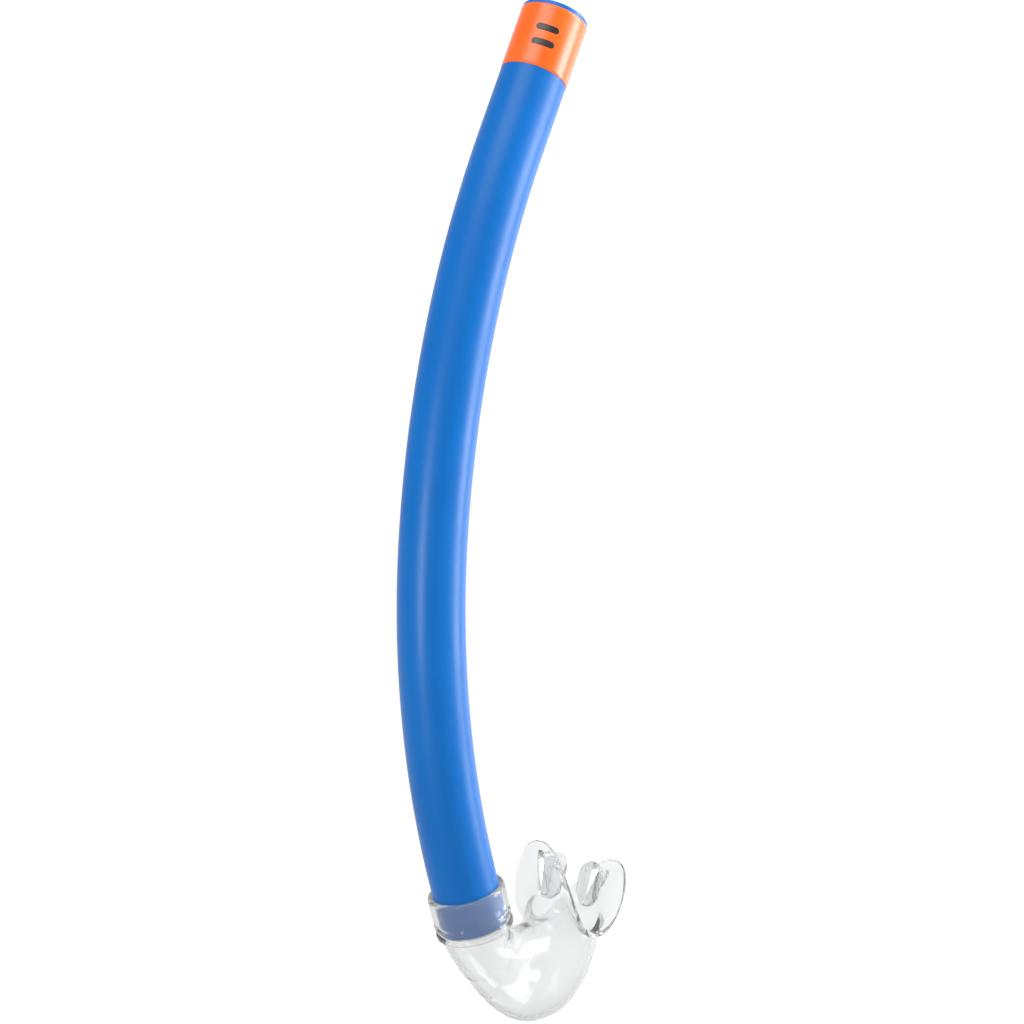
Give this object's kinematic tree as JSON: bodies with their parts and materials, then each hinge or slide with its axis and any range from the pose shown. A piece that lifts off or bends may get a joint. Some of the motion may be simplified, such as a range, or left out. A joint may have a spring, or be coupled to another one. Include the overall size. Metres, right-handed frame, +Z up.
{
  "type": "snorkel",
  "caption": "Swimming snorkel: a rigid curved breathing tube with a bright tip band and a soft clear elbow mouthpiece with a lip flange and bite tabs.",
  "frame": {"origin": "on the tube's centreline where it runs exactly along Z, which is where a keeper clip grips the tube", "axes": "+Z up along the tube at the origin, towards the open tip; +X in the plane of the bend, towards the mouthpiece; +Y across the bend, so the tube bends in the XZ plane"},
  "size_m": [0.1096, 0.0352, 0.3826],
  "materials": {
    "tube_plastic": "satin gloss extruded tube",
    "band_film": "glossy printed film",
    "stripe_ink": "printed ink",
    "clear_silicone": "clear moulded silicone"
  },
  "bodies": {
    "tube": {"tube": "tube_plastic", "tip_band": "band_film", "band_stripes": "stripe_ink"},
    "mouthpiece": {"mouthpiece_collar": "clear_silicone", "mouthpiece_elbow": "clear_silicone", "mouthpiece_flange": "clear_silicone", "bite_tab_left": "clear_silicone", "bite_tab_right": "clear_silicone"}
  },
  "joints": [
    {"name": "mouthpiece_swivel", "type": "hinge", "parent": "tube", "child": "mouthpiece", "pos_m": [0.0169, 0, -0.10357], "axis": [-0.304, 0, 0.9527], "continuous": true}
  ]
}
